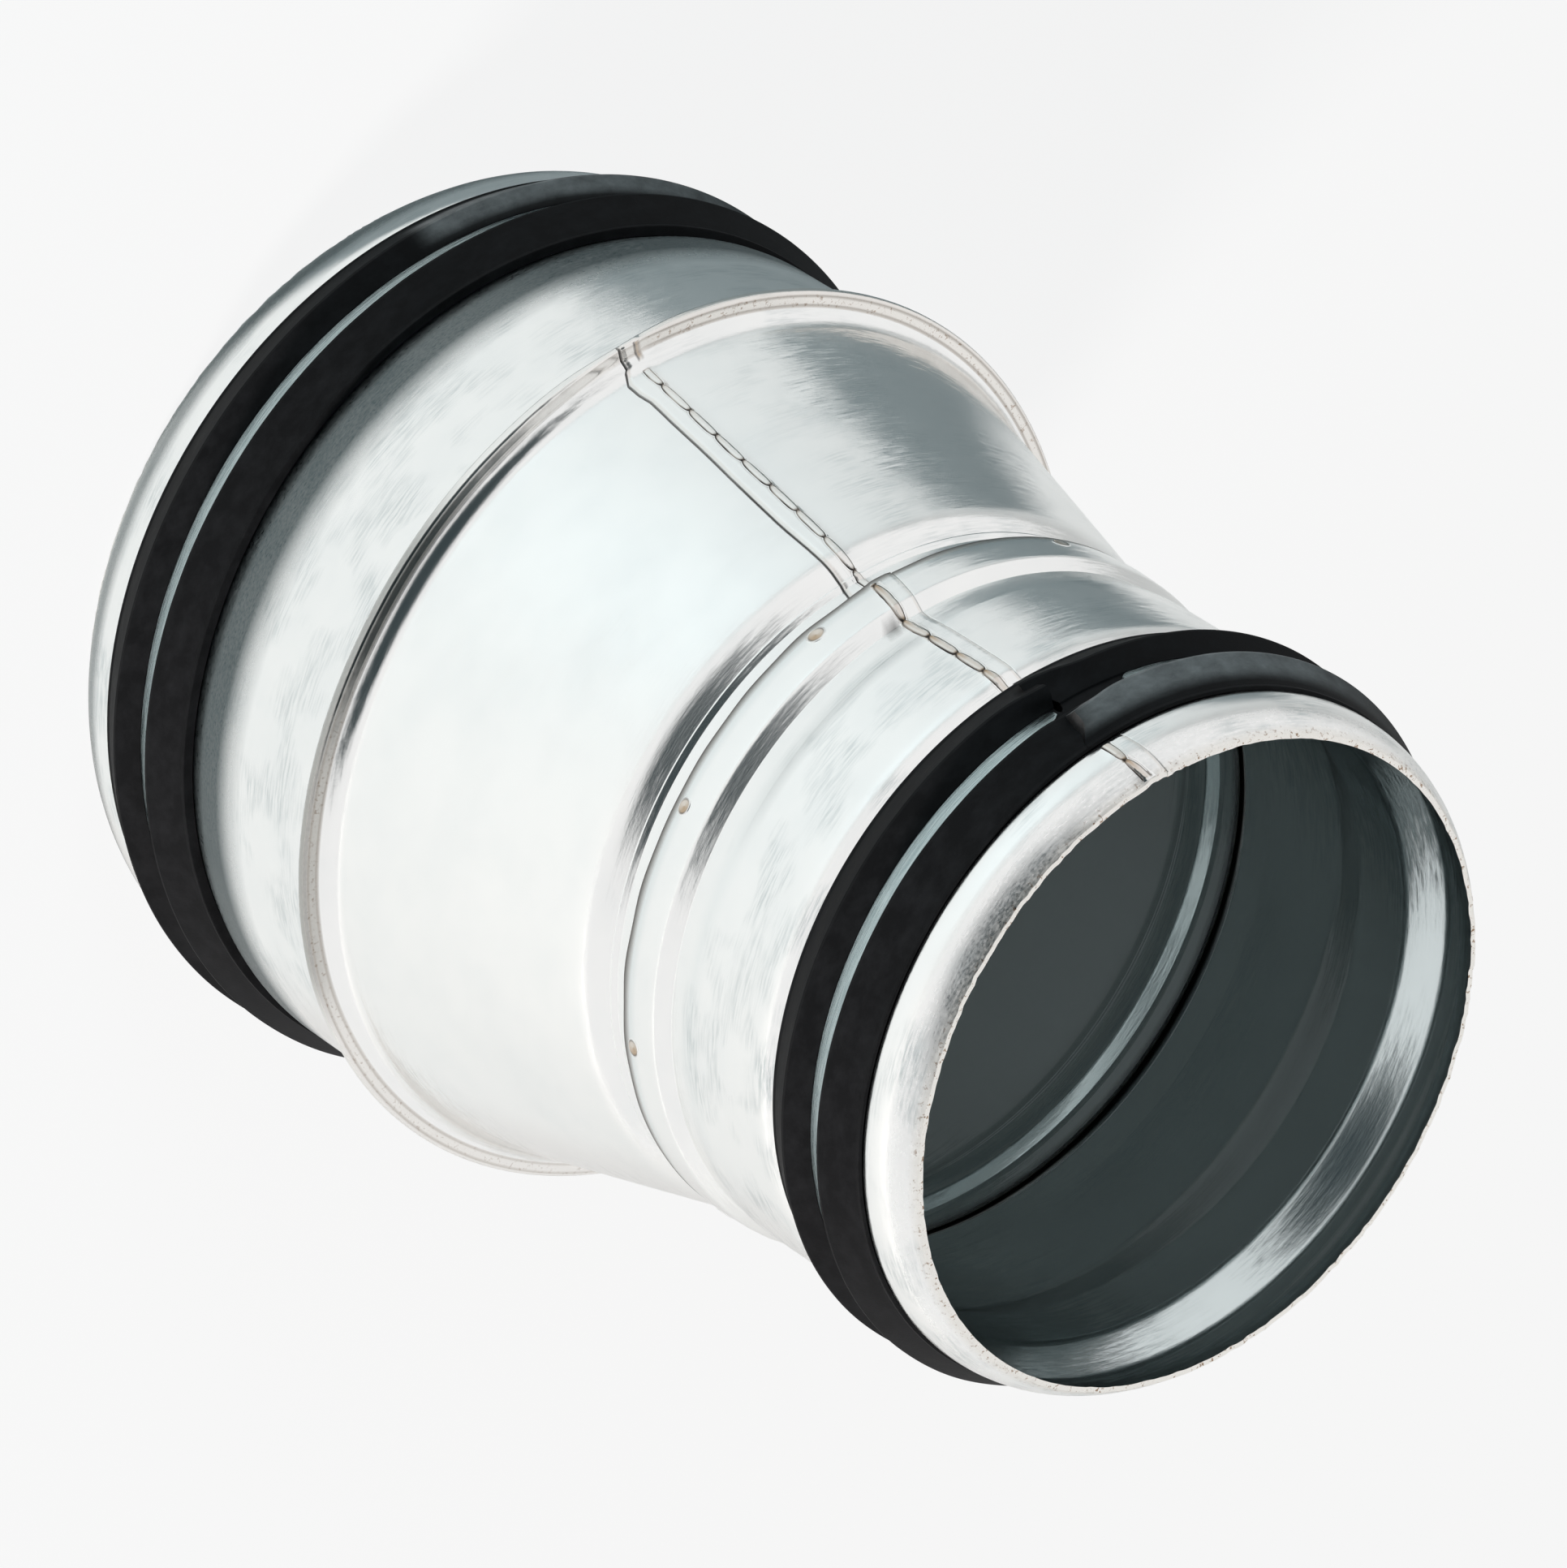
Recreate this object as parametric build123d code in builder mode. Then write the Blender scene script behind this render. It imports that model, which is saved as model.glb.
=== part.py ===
from build123d import *
from math import atan, degrees, pi, radians, sin, tan
import os

# Duct reducer of galvanised sheet, in millimetres. It stands on its large end, +Z runs to the
# small end along the axis of both ducts, and the lengthwise seam faces -Y.
os.makedirs("parts", exist_ok=True)

# Ducts and overall sizes
small_diameter = 99.0
large_diameter = 124.0
total_length = 165.7
sheet = 0.6
seam_angle = -90

# Rim of each spigot, curled inwards so that it enters the duct
rim_drop = 2.7
rim_angle = 35
rim_trim = 0.5
curl_land = 0.5

# Groove that holds each seal, as distances from the rim: a front ramp, a floor and a longer rear ramp
groove_start = 8.0
groove_end = 29.6
groove_depth = 3.2
front_ramp = 5.2
rear_ramp = 7.6

# Two-lipped rubber seal with a steel band in the channel between its lips. The small seal's butt
# joint lies on the lengthwise seam, and the large seal's is turned away from it.
seal_start = 8.6
seal_end = 26.5
seal_gap = 0.05
foot_height = 0.3
foot_width = 0.6
lip_height = 2.7
lip_spread = 4.1
lip_tip = 0.5
channel_depth = 0.1
channel_edge = 0.45
seal_joint = 0.9
large_joint_turn = 180
band_width = 2.2
band_thickness = 0.5
band_gap = 0.05

# Rolled ring that joins the large collar and the cone: the cone's edge is folded round a flange
ring_front = 58.3
ring_height = 3.3
seam_gap = 0.03
fold_fill = 0.45
flange_bend = 1.0
hem_gap = 0.1
flare_margin = 0.1
cone_inset = 0.3

# Small collar from its rim to the end of its socket, and the neck of the cone inside the socket
small_collar_length = 57.2
neck_show = 2.0
neck_step = 0.45
neck_closing = 0.5
joint_gap = 0.05
socket_land = 2.7
socket_taper = 3.0

# Pressed bead at the mouth of the neck, in order from the neck's end
crease_run = 2.2
crease_depth = 0.04
bead_step = 0.7
bead_depth = 0.45
bead_run = 4.1

# Lengthwise lap seam, a second layer of sheet pressed to half its height
lap_rise = 0.3
lap_angle = 3.2
lap_margin = 0.5

small_radius = small_diameter / 2
large_radius = large_diameter / 2
large_end = Plane.XZ.rotated((0, 0, seam_angle))
small_end = Plane(origin=(0, 0, total_length), x_dir=(1, 0, 0), z_dir=(0, 1, 0)).rotated((0, 0, seam_angle))
large_end_joint = large_end.rotated((0, 0, large_joint_turn))
large_end_lap = large_end.rotated((0, 0, -lap_angle / 2))
small_end_lap = small_end.rotated((0, 0, -lap_angle / 2))


def bent_sheet(corners):
    """Section of a bent sheet, with the metal on the left of its outer face.

    Each corner of that face is its radius, its distance along the axis and its bend radius.
    """
    points = [(radius, distance) for radius, distance, bend in corners]
    bends = [bend for radius, distance, bend in corners[1:-1]]
    with BuildSketch(mode=Mode.PRIVATE) as section:
        with BuildLine():
            outer_face = FilletPolyline(*points, radius=bends)
            offset(outer_face, amount=sheet, kind=Kind.INTERSECTION, side=Side.LEFT)
        make_face()
    return section.sketch


def cut_rim(radius):
    """Cut the curled sheet square, so that it ends on the plane of the rim."""
    with Locations((radius, 0)):
        Rectangle(2 * radius, 2 * rim_trim, align=(Align.CENTER, Align.MAX), mode=Mode.SUBTRACT)


def rim_corners(radius):
    """Corners of a curled rim. The first lies past the cut, and one arc fills the rest."""
    slope = tan(radians(rim_angle))
    corner = rim_drop / slope
    to_groove = groove_start - curl_land - corner
    to_rim = rim_drop / sin(radians(rim_angle))
    curl_radius = min(to_groove, to_rim) / tan(radians(rim_angle / 2))
    return [(radius - rim_drop - slope * rim_trim, -rim_trim, 0), (radius, corner, curl_radius)]


def groove_corners(radius):
    """Corners of a seal groove: the front ramp, a flat floor and the gentler rear ramp."""
    floor = radius - groove_depth
    return [
        (radius, groove_start, 0),
        (floor, groove_start + front_ramp, 0),
        (floor, groove_end - rear_ramp, 0),
        (radius, groove_end, 0),
    ]


def raised(corners):
    """The corners of a face, moved out by the height of the lap seam."""
    return [(radius + lap_rise, distance, bend) for radius, distance, bend in corners]


def seal_section(radius):
    """Section of a seal: an underside laid along the groove, and two lips that mirror each other."""
    middle = (seal_start + seal_end) / 2
    seat = radius + seal_gap
    start_depth = groove_depth * (seal_start - groove_start) / front_ramp
    end_depth = groove_depth * (groove_end - seal_end) / rear_ramp
    foot = radius + foot_height
    tip = radius + lip_height
    channel_half = band_width / 2 + band_gap
    with BuildSketch(mode=Mode.PRIVATE) as section:
        with BuildLine():
            half = Polyline(
                (foot, seal_start),
                (foot, seal_start + foot_width),
                (tip, middle - lip_spread),
                (tip, middle - lip_spread + lip_tip),
                (radius + channel_edge, middle - channel_half),
                (radius - channel_depth, middle - channel_half),
                (radius - channel_depth, middle),
            )
            mirror(half, about=Plane.XZ.offset(-middle))
            Polyline(
                (foot, seal_start),
                (seat - start_depth, seal_start),
                (seat - groove_depth, groove_start + front_ramp),
                (seat - groove_depth, groove_end - rear_ramp),
                (seat - end_depth, seal_end),
                (foot, seal_end),
            )
        make_face()
    return section.sketch


def band_section(radius):
    """Section of the steel band that lies in a seal's channel."""
    middle = (seal_start + seal_end) / 2
    with BuildSketch(mode=Mode.PRIVATE) as section:
        with Locations((radius - channel_depth + band_gap, middle)):
            Rectangle(band_thickness, band_width, align=(Align.MIN, Align.CENTER))
    return section.sketch


def cut_ring(section, end, radius):
    """A ring of one section round a spigot, cut to length, with its butt joint centred on a plane."""
    joint_angle = degrees(seal_joint / radius)
    with BuildPart(mode=Mode.PRIVATE) as ring:
        with BuildSketch(end.rotated((0, 0, joint_angle / 2))):
            add(section)
        revolve(axis=Axis.Z, revolution_arc=360 - joint_angle)
    return ring.part


# Large collar: curled rim, seal groove and a flange that the cone's hem grips
ring_radius = large_radius + ring_height
ring_back = ring_front - 3 * sheet - 2 * seam_gap
fold_bend = sheet + fold_fill * (sheet + 2 * seam_gap)
flange_back = ring_back + sheet + seam_gap
large_corners = rim_corners(large_radius) + groove_corners(large_radius)
large_corners += [(large_radius, flange_back, flange_bend), (ring_radius - fold_bend, flange_back, 0)]

with BuildPart() as large_collar:
    with BuildSketch(large_end):
        add(bent_sheet(large_corners))
        cut_rim(large_radius)
    revolve(axis=Axis.Z)
large_collar.part.label = "large_collar"
export_step(large_collar.part, "parts/large_collar.step")

# Cone: hem round the flange, flare, conical wall and the neck that enters the small collar
cone_radius = large_radius - cone_inset
neck_radius = small_radius + neck_step
neck_end_radius = neck_radius - neck_closing
neck_bend = total_length - small_collar_length - neck_show
neck_land = total_length - small_collar_length + socket_land
cone_slope = (cone_radius - neck_radius) / (neck_bend - ring_front)
flare_reach = ring_radius - fold_bend - flare_margin - cone_radius
flare_radius = flare_reach / tan((pi / 2 - atan(cone_slope)) / 2)
lap_foot = ring_front + flare_radius
cone_corners = [
    (large_radius + flange_bend + hem_gap, ring_back, 0),
    (ring_radius, ring_back, fold_bend),
    (ring_radius, ring_front, fold_bend),
    (cone_radius, ring_front, flare_radius),
    (neck_radius, neck_bend, 0),
    (neck_radius, neck_land, 0),
    (neck_end_radius, neck_land + socket_taper, 0),
]
cone_lap = [
    (cone_radius - cone_slope * flare_radius, lap_foot, 0),
    (neck_radius, neck_bend, 0),
    (neck_radius, neck_bend + neck_show - lap_margin, 0),
]

with BuildPart() as cone:
    with BuildSketch(large_end):
        add(bent_sheet(cone_corners))
    revolve(axis=Axis.Z)
    with BuildSketch(large_end_lap):
        add(bent_sheet(raised(cone_lap)))
    revolve(axis=Axis.Z, revolution_arc=lap_angle)
cone.part.label = "cone"
export_step(cone.part, "parts/cone.step")

# Small collar: curled rim, seal groove, pressed bead and the socket over the cone's neck
socket_wall = joint_gap + sheet
socket_bend = small_collar_length - socket_land
socket_mouth = socket_bend - socket_taper
crease = socket_mouth - crease_run
bead_low = crease - bead_step
socket_corners = [
    (small_radius, bead_low - bead_run, 0),
    (small_radius - bead_depth, bead_low, 0),
    (small_radius - crease_depth, crease, 0),
    (neck_end_radius + socket_wall, socket_mouth, 0),
    (neck_radius + socket_wall, socket_bend, 0),
    (neck_radius + socket_wall, small_collar_length, 0),
]
small_corners = rim_corners(small_radius) + groove_corners(small_radius) + socket_corners
rim_lap = rim_corners(small_radius) + [(small_radius, groove_start, 0)]
socket_lap = [(small_radius, groove_end + lap_margin, 0)] + socket_corners

with BuildPart() as small_collar:
    with BuildSketch(small_end):
        add(bent_sheet(small_corners))
        cut_rim(small_radius)
    revolve(axis=Axis.Z)
    with BuildSketch(small_end_lap):
        add(bent_sheet(raised(rim_lap)))
        add(bent_sheet(raised(socket_lap)))
        cut_rim(small_radius)
    revolve(axis=Axis.Z, revolution_arc=lap_angle)
small_collar.part.label = "small_collar"
export_step(small_collar.part, "parts/small_collar.step")

# Seals
with BuildPart() as large_seal:
    add(cut_ring(seal_section(large_radius), large_end_joint, large_radius))
large_seal.part.label = "large_seal"
export_step(large_seal.part, "parts/large_seal.step")

with BuildPart() as small_seal:
    add(cut_ring(seal_section(small_radius), small_end, small_radius))
small_seal.part.label = "small_seal"
export_step(small_seal.part, "parts/small_seal.step")

# Steel bands in the channels of the seals
with BuildPart() as large_seal_band:
    add(cut_ring(band_section(large_radius), large_end_joint, large_radius))
large_seal_band.part.label = "large_seal_band"
export_step(large_seal_band.part, "parts/large_seal_band.step")

with BuildPart() as small_seal_band:
    add(cut_ring(band_section(small_radius), small_end, small_radius))
small_seal_band.part.label = "small_seal_band"
export_step(small_seal_band.part, "parts/small_seal_band.step")
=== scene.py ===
# %% [markdown]
# # A duct reducer of galvanised sheet
# The reducer joins a wide round duct to a narrow one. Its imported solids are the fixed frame: they
# stand on the large end, with the axis along +Z, and every piece made here keeps to their sizes.
# Lengths in this file are written in millimetres and turned into metres when a mesh is made.

import bpy
import numpy as np
from mathutils import Matrix, Vector


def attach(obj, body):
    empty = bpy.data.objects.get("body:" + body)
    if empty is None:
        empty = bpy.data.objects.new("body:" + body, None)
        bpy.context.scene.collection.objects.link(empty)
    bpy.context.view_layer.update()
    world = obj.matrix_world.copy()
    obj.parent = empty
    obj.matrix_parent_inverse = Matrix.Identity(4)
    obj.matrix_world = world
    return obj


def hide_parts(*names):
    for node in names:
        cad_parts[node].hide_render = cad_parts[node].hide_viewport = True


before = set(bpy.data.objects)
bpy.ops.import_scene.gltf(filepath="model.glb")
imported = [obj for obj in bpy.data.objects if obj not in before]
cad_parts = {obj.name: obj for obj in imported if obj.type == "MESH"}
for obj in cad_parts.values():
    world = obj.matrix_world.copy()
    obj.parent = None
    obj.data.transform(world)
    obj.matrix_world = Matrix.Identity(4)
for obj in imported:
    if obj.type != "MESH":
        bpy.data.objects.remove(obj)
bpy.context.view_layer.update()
MM = 0.001
SMALL_RADIUS = 49.5
LARGE_RADIUS = 62.0
TOTAL_LENGTH = 165.7
SHEET = 0.6
SEAM = -90.0
print("solids:", ", ".join(sorted(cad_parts)))

# %% [markdown]
# ## The camera
# The photograph was taken with a long lens, from above and in front of the small end, with the
# object's axis falling to the lower right. The camera's three axes below were fitted to the rims of
# both ends, so the picture is framed as the photograph is, with no shift.

# %% Camera
SEAM_TURN = np.radians(35.3)
AXIS_RIGHT = np.array([-0.540521, 0.841331, 0.0])
AXIS_DOWN = np.array([0.573441, 0.368413, 0.731736])
AXIS_OF_DUCT = np.array([0.615632, 0.395519, -0.681588])
SMALL_RIM = np.array([54.101, 36.504, 1571.404])
FOCAL = 14959.0
PHOTO_SIDE = 1932.0
SENSOR = 36.0


def photo_camera():
    """Camera at the fitted place: the turn matrix takes object axes to right, down and forward."""
    x_axis = np.cos(SEAM_TURN) * AXIS_RIGHT - np.sin(SEAM_TURN) * AXIS_DOWN
    y_axis = np.sin(SEAM_TURN) * AXIS_RIGHT + np.cos(SEAM_TURN) * AXIS_DOWN
    turn = np.column_stack([x_axis, y_axis, AXIS_OF_DUCT])
    shift = SMALL_RIM - turn @ np.array([0.0, 0.0, TOTAL_LENGTH])
    place = -turn.T @ shift * MM
    rotation = (np.diag([1.0, -1.0, -1.0]) @ turn).T
    data = bpy.data.cameras.new("photo_camera")
    data.sensor_width = SENSOR
    data.lens = FOCAL / PHOTO_SIDE * SENSOR
    data.clip_start = 0.05
    data.clip_end = 50.0
    camera = bpy.data.objects.new("photo_camera", data)
    camera.matrix_world = Matrix.LocRotScale(Vector(place), Matrix(rotation.tolist()).to_quaternion(), None)
    bpy.context.scene.collection.objects.link(camera)
    return camera


bpy.context.scene.camera = photo_camera()
print("camera at", [round(v, 3) for v in bpy.context.scene.camera.location])

# %% [markdown]
# ## Floor, world and lamps
# Bright sheet metal shows its surroundings, so the studio decides its look: a white floor, a white
# room, and the unlit part of the room above the photographer, which only reflections show. Two soft
# lamps throw the object's shadow on the floor, and the walls turned away mirror it as a dark band.

# %% Floor and world
WHITE = 0.935
FLOOR_RADIUS = 0.8
FLOOR_SIDES = 96
OVERHEAD_AZIMUTH = -54.7
OVERHEAD_ELEVATION = 50.0
OVERHEAD_REACH = 37.0
OVERHEAD_BLUR = 8.0


def light_path_factor(tree, camera_share, glossy_share):
    """Node value: camera_share for camera rays, glossy_share for mirrored or refracted rays, else 0."""
    nodes, links = tree.nodes, tree.links
    path = nodes.new("ShaderNodeLightPath")
    mirrored = nodes.new("ShaderNodeMath")
    mirrored.operation = "ADD"
    links.new(path.outputs["Is Glossy Ray"], mirrored.inputs[0])
    links.new(path.outputs["Is Transmission Ray"], mirrored.inputs[1])
    weighted = nodes.new("ShaderNodeMath")
    weighted.operation = "MULTIPLY"
    weighted.inputs[1].default_value = glossy_share
    links.new(mirrored.outputs[0], weighted.inputs[0])
    seen = nodes.new("ShaderNodeMath")
    seen.operation = "MULTIPLY_ADD"
    seen.inputs[1].default_value = camera_share
    seen.use_clamp = True
    links.new(path.outputs["Is Camera Ray"], seen.inputs[0])
    links.new(weighted.outputs[0], seen.inputs[2])
    return seen.outputs[0]


def floor_material():
    """White floor: diffuse under the lamps, and partly a plain white glow where it is seen."""
    material = bpy.data.materials.new("studio_floor")
    material.use_nodes = True
    tree = material.node_tree
    tree.nodes.clear()
    diffuse = tree.nodes.new("ShaderNodeBsdfDiffuse")
    diffuse.inputs["Color"].default_value = (0.9, 0.9, 0.9, 1)
    glow = tree.nodes.new("ShaderNodeEmission")
    glow.inputs["Color"].default_value = (WHITE, WHITE, WHITE, 1)
    mix = tree.nodes.new("ShaderNodeMixShader")
    tree.links.new(light_path_factor(tree, camera_share=0.94, glossy_share=0.03), mix.inputs[0])
    tree.links.new(diffuse.outputs[0], mix.inputs[1])
    tree.links.new(glow.outputs[0], mix.inputs[2])
    output = tree.nodes.new("ShaderNodeOutputMaterial")
    tree.links.new(mix.outputs[0], output.inputs["Surface"])
    return material


def studio_floor():
    """Flat disc under the rim. Past its edge the white room takes over, so no far, unlit floor is mirrored."""
    turn = np.linspace(0, 2 * np.pi, FLOOR_SIDES, endpoint=False)
    points = np.column_stack([FLOOR_RADIUS * np.cos(turn), FLOOR_RADIUS * np.sin(turn), 0 * turn])
    mesh = bpy.data.meshes.new("studio_floor")
    mesh.from_pydata(points.tolist(), [], [list(range(FLOOR_SIDES))])
    mesh.materials.append(floor_material())
    floor = bpy.data.objects.new("studio_floor", mesh)
    bpy.context.scene.collection.objects.link(floor)


def overhead_share(tree):
    """1 inside the dark round patch of the room, 0 outside. The dot product gives the angle from its middle."""
    direction = tree.nodes.new("ShaderNodeTexCoord").outputs["Generated"]
    turn, rise = np.radians([OVERHEAD_AZIMUTH, OVERHEAD_ELEVATION])
    dot = tree.nodes.new("ShaderNodeVectorMath")
    dot.operation = "DOT_PRODUCT"
    dot.inputs[1].default_value = (np.cos(turn) * np.cos(rise), np.sin(turn) * np.cos(rise), np.sin(rise))
    tree.links.new(direction, dot.inputs[0])
    edge = tree.nodes.new("ShaderNodeMapRange")
    edge.interpolation_type = "SMOOTHSTEP"
    tree.links.new(dot.outputs["Value"], edge.inputs["Value"])
    edge.inputs["From Min"].default_value = np.cos(np.radians(OVERHEAD_REACH + OVERHEAD_BLUR))
    edge.inputs["From Max"].default_value = np.cos(np.radians(OVERHEAD_REACH - OVERHEAD_BLUR))
    mirrored = tree.nodes.new("ShaderNodeMath")
    mirrored.operation = "MULTIPLY"
    tree.links.new(edge.outputs["Result"], mirrored.inputs[0])
    tree.links.new(tree.nodes.new("ShaderNodeLightPath").outputs["Is Glossy Ray"], mirrored.inputs[1])
    return mirrored.outputs[0]


def studio_world():
    """White where it is seen, white with the dark patch where it is mirrored, and a weak fill for the rest."""
    world = bpy.data.worlds.new("studio_world")
    world.use_nodes = True
    tree = world.node_tree
    tree.nodes.clear()
    fill = tree.nodes.new("ShaderNodeBackground")
    fill.inputs["Color"].default_value = (0.75, 1.0, 1.08, 1)
    fill.inputs["Strength"].default_value = 0.06
    room = tree.nodes.new("ShaderNodeMix")
    room.data_type = "RGBA"
    room.inputs[6].default_value = (WHITE, WHITE, WHITE, 1)
    room.inputs[7].default_value = (0.045, 0.06, 0.065, 1)
    tree.links.new(overhead_share(tree), room.inputs[0])
    seen = tree.nodes.new("ShaderNodeBackground")
    tree.links.new(room.outputs[2], seen.inputs["Color"])
    mix = tree.nodes.new("ShaderNodeMixShader")
    tree.links.new(light_path_factor(tree, camera_share=1.0, glossy_share=1.0), mix.inputs[0])
    tree.links.new(fill.outputs[0], mix.inputs[1])
    tree.links.new(seen.outputs[0], mix.inputs[2])
    output = tree.nodes.new("ShaderNodeOutputWorld")
    tree.links.new(mix.outputs[0], output.inputs["Surface"])
    bpy.context.scene.world = world


studio_floor()
studio_world()

# %% Lamps


def softbox(name, azimuth, elevation, distance, side, power, colour):
    """Square area lamp that faces the object's middle from an azimuth and elevation in degrees."""
    data = bpy.data.lights.new(name, "AREA")
    data.shape = "SQUARE"
    data.size = side
    data.energy = power
    data.color = colour
    lamp = bpy.data.objects.new(name, data)
    turn, rise = np.radians([azimuth, elevation])
    away = Vector((np.cos(turn) * np.cos(rise), np.sin(turn) * np.cos(rise), np.sin(rise)))
    lamp.location = Vector((0, 0, TOTAL_LENGTH / 2 * MM)) + away * distance
    lamp.rotation_euler = away.to_track_quat("Z", "Y").to_euler()
    lamp.visible_camera = False
    lamp.visible_glossy = False
    bpy.context.scene.collection.objects.link(lamp)
    return lamp


WARM = (1.0, 0.97, 0.945)
COOL = (0.80, 1.0, 1.05)
softbox("wide_softbox", azimuth=20, elevation=35, distance=2.5, side=0.4, power=80.0, colour=WARM)
softbox("small_softbox", azimuth=-84, elevation=30, distance=0.65, side=0.2, power=1.45, colour=COOL)

# %% [markdown]
# ## Finishes
# Hot-dip galvanised sheet is bright and fairly smooth, with fine streaks from the rolling mill that
# run round the duct and soft blotches in its gloss. One noise squeezed along the axis gives the
# streaks, one even noise the blotches. Soot, heat tint, cut edges and scuffs are painted by number on
# the vertices, because they belong to places and not to a pattern. Light is painted there as well:
# painted shade in crevices, creases, gaps and on inner faces, painted dark streaks, a painted sheen on
# the seals, and painted reflection in dark zones on the ring and beside some bends.

# %% Node helpers


def new_material(name):
    """Empty Principled material: (material, its node tree, its shader)."""
    material = bpy.data.materials.new(name)
    material.use_nodes = True
    tree = material.node_tree
    return material, tree, tree.nodes["Principled BSDF"]


def noise(tree, stretch, detail, roughness, scale=1.0):
    """Noise on Object coordinates in millimetres, squeezed by stretch along each axis."""
    place = tree.nodes.new("ShaderNodeTexCoord")
    mapping = tree.nodes.new("ShaderNodeMapping")
    mapping.inputs["Scale"].default_value = [value / MM for value in stretch]
    texture = tree.nodes.new("ShaderNodeTexNoise")
    texture.inputs["Scale"].default_value = scale
    texture.inputs["Detail"].default_value = detail
    texture.inputs["Roughness"].default_value = roughness
    tree.links.new(place.outputs["Object"], mapping.inputs["Vector"])
    tree.links.new(mapping.outputs["Vector"], texture.inputs["Vector"])
    return texture.outputs["Fac"]


def span(tree, value, low, high, to_low, to_high):
    """Value carried from one range to another, and held at its ends."""
    node = tree.nodes.new("ShaderNodeMapRange")
    tree.links.new(value, node.inputs["Value"])
    for name, number in (("From Min", low), ("From Max", high), ("To Min", to_low), ("To Max", to_high)):
        node.inputs[name].default_value = number
    return node.outputs["Result"]


def combine(tree, operation, first, second):
    """Two node values joined by arithmetic. The second may be a plain number."""
    node = tree.nodes.new("ShaderNodeMath")
    node.operation = operation
    tree.links.new(first, node.inputs[0])
    if isinstance(second, float):
        node.inputs[1].default_value = second
    else:
        tree.links.new(second, node.inputs[1])
    return node.outputs[0]


def blend(tree, factor, first, second):
    """Colour between two colours. Each colour is four numbers or a node's output."""
    node = tree.nodes.new("ShaderNodeMix")
    node.data_type = "RGBA"
    tree.links.new(factor, node.inputs[0])
    for colour, socket in ((first, node.inputs[6]), (second, node.inputs[7])):
        if isinstance(colour, tuple):
            socket.default_value = colour
        else:
            tree.links.new(colour, socket)
    return node.outputs[2]


def painted(tree, name):
    """Number painted on the vertices."""
    node = tree.nodes.new("ShaderNodeAttribute")
    node.attribute_name = name
    return node.outputs["Fac"]


def bumps(tree, shader, height, distance):
    """Relief of a height value, with the distance in millimetres."""
    node = tree.nodes.new("ShaderNodeBump")
    node.inputs["Distance"].default_value = distance * MM
    tree.links.new(height, node.inputs["Height"])
    tree.links.new(node.outputs["Normal"], shader.inputs["Normal"])


# %% Galvanised sheet
ZINC = (0.925, 0.925, 0.915, 1)
ZINC_DULL = (0.83, 0.85, 0.85, 1)
SOOT_AND_SHADE = (0.045, 0.04, 0.038, 1)
HEAT_TINT = (0.50, 0.38, 0.27, 1)
RAW_EDGE = (0.84, 0.82, 0.78, 1)
RUST_SPECK = (0.30, 0.20, 0.13, 1)
INSIDE_ZINC = (0.66, 0.72, 0.725, 1)
SCUFF_AND_SHADE = (0.40, 0.46, 0.47, 1)
REFLECTION_DARK_ZINC = (0.035, 0.06, 0.065, 1)


def round_the_axis(tree, shader, relief, swing, distance):
    """Bump, then tilt each normal round the duct: N + (-y, x, 0) / r times the swing, made unit."""
    bump = tree.nodes.new("ShaderNodeBump")
    bump.inputs["Distance"].default_value = distance * MM
    tree.links.new(relief, bump.inputs["Height"])
    place = tree.nodes.new("ShaderNodeTexCoord")
    vectors = []
    for operation in ("CROSS_PRODUCT", "NORMALIZE", "SCALE", "ADD", "NORMALIZE"):
        node = tree.nodes.new("ShaderNodeVectorMath")
        node.operation = operation
        vectors.append(node)
    cross, tangent, tilt, total, length = vectors
    cross.inputs[0].default_value = (0, 0, 1)
    tree.links.new(place.outputs["Object"], cross.inputs[1])
    tree.links.new(cross.outputs[0], tangent.inputs[0])
    tree.links.new(tangent.outputs[0], tilt.inputs[0])
    tree.links.new(swing, tilt.inputs["Scale"])
    tree.links.new(bump.outputs["Normal"], total.inputs[0])
    tree.links.new(tilt.outputs[0], total.inputs[1])
    tree.links.new(total.outputs[0], length.inputs[0])
    tree.links.new(length.outputs[0], shader.inputs["Normal"])


def painted_share(tree, name, share):
    """A painted number times a node value or a plain number."""
    return combine(tree, "MULTIPLY", painted(tree, name), share)


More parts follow.
